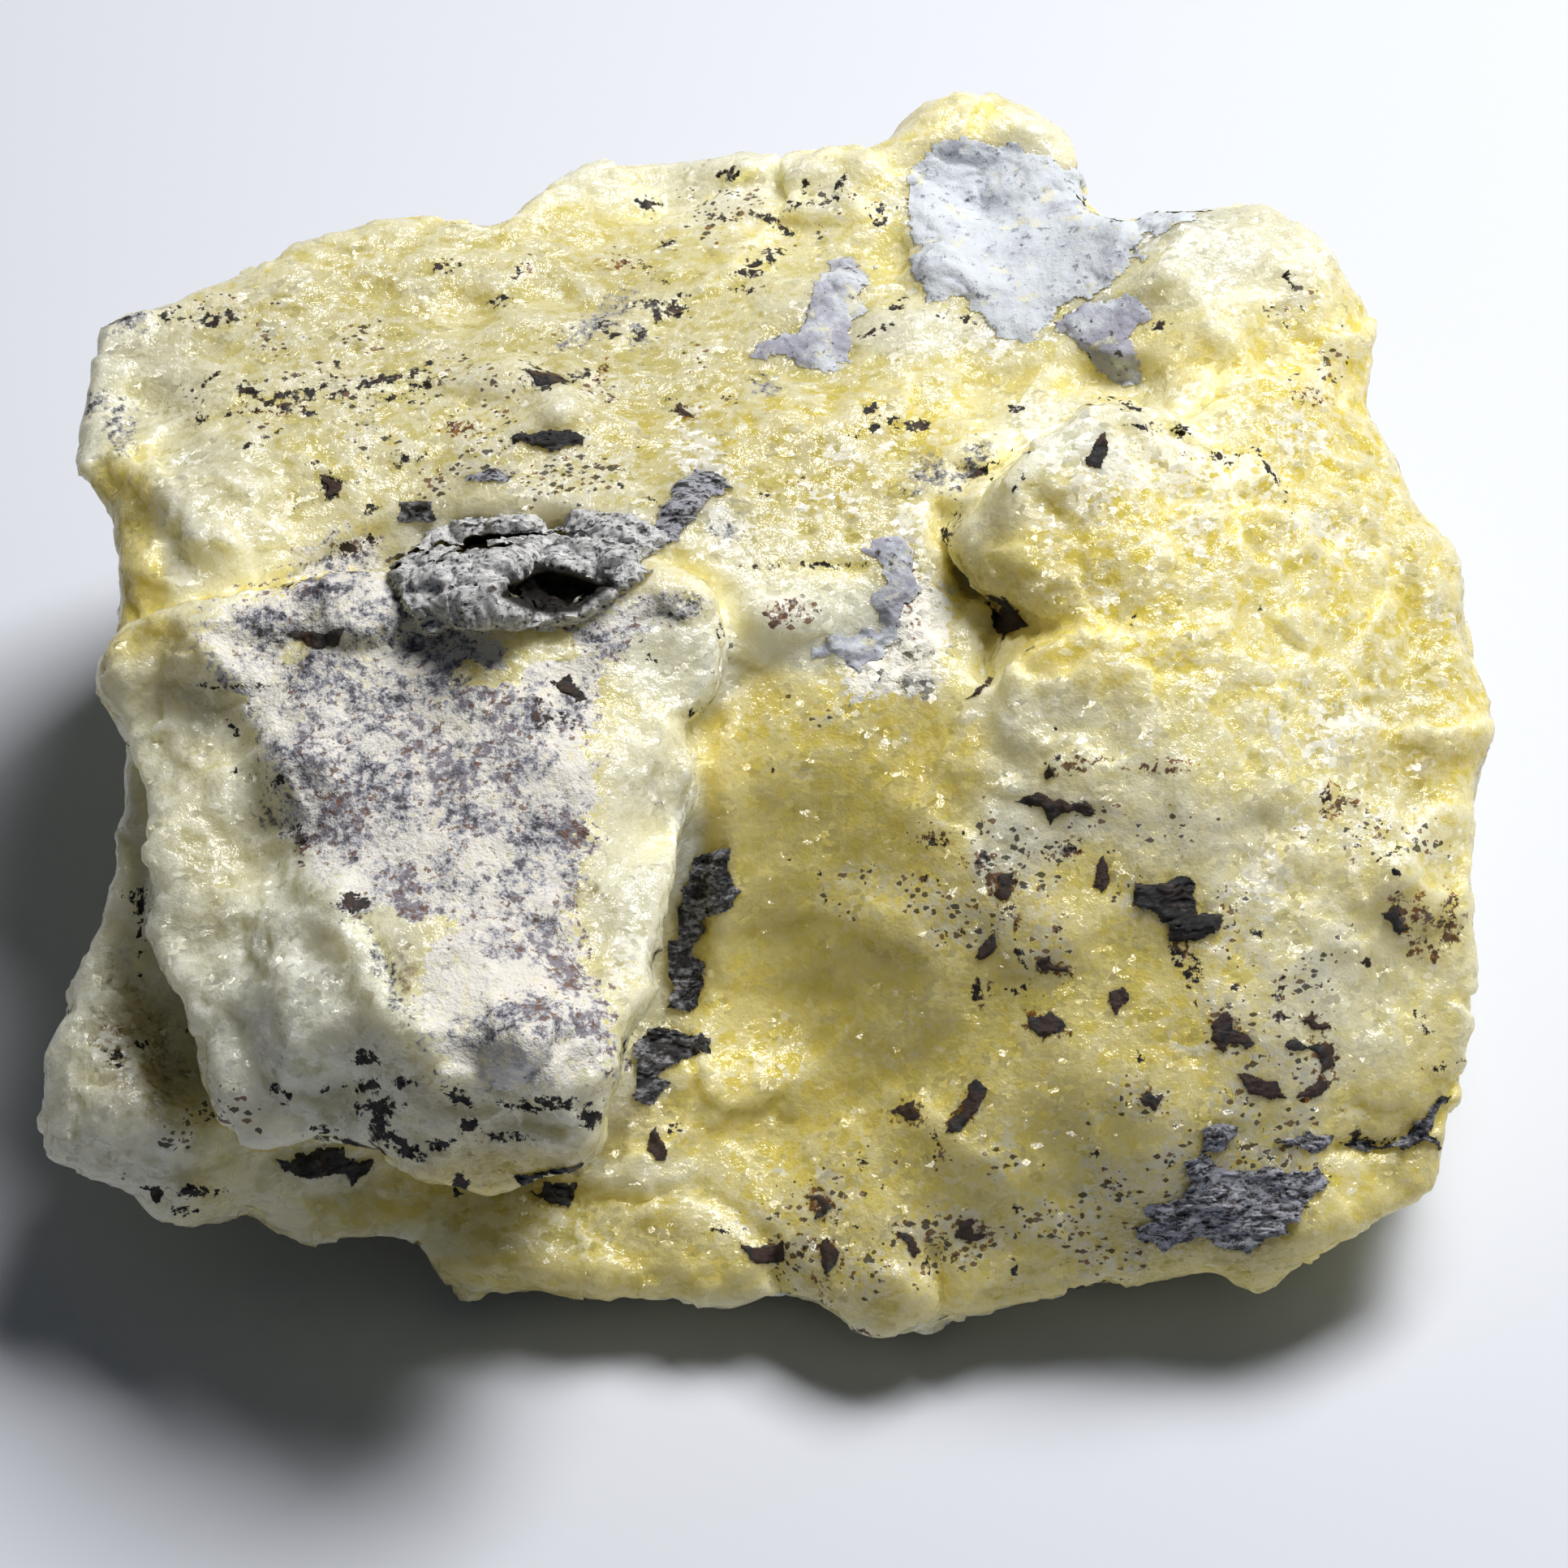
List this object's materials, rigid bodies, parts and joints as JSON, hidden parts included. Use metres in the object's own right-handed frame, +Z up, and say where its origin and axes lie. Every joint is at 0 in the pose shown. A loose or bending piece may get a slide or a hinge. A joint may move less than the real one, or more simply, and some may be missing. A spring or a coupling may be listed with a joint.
{
  "type": "mineral specimen",
  "caption": "Hand-sized brucite mass with a raised block, two broad domes and scraps of grey matrix let into its broken face, resting flat on its underside.",
  "frame": {"origin": "on the flat bed that the stone rests on, below the middle of the stone", "axes": "+X to the right along the stone's length as its broken face is looked at, +Y away from the face towards the rear wall, +Z up"},
  "size_m": [0.0669, 0.0575, 0.0322],
  "materials": {
    "brucite": "waxy, translucent, lemon yellow",
    "pale_matrix": "dull, powdery, pale grey",
    "dark_matrix": "scaly, dark grey with a faint sheen"
  },
  "bodies": {
    "root": {"brucite": "brucite", "matrix_wedge": "pale_matrix", "matrix_tongue": "pale_matrix", "matrix_chip": "pale_matrix", "matrix_knob": "pale_matrix", "matrix_crescent": "pale_matrix", "matrix_blade": "dark_matrix", "hollow_scale_upper": "dark_matrix", "hollow_scale_lower": "dark_matrix", "apron_scale": "dark_matrix", "front_scale": "dark_matrix", "front_scale_left": "dark_matrix", "front_scale_right": "dark_matrix", "edge_seam": "dark_matrix", "terrace_scale_upper": "dark_matrix", "terrace_scale_lower": "dark_matrix", "terrace_scale_middle": "dark_matrix", "nose_scale": "dark_matrix", "ledge_scale": "dark_matrix"}
  },
  "joints": []
}
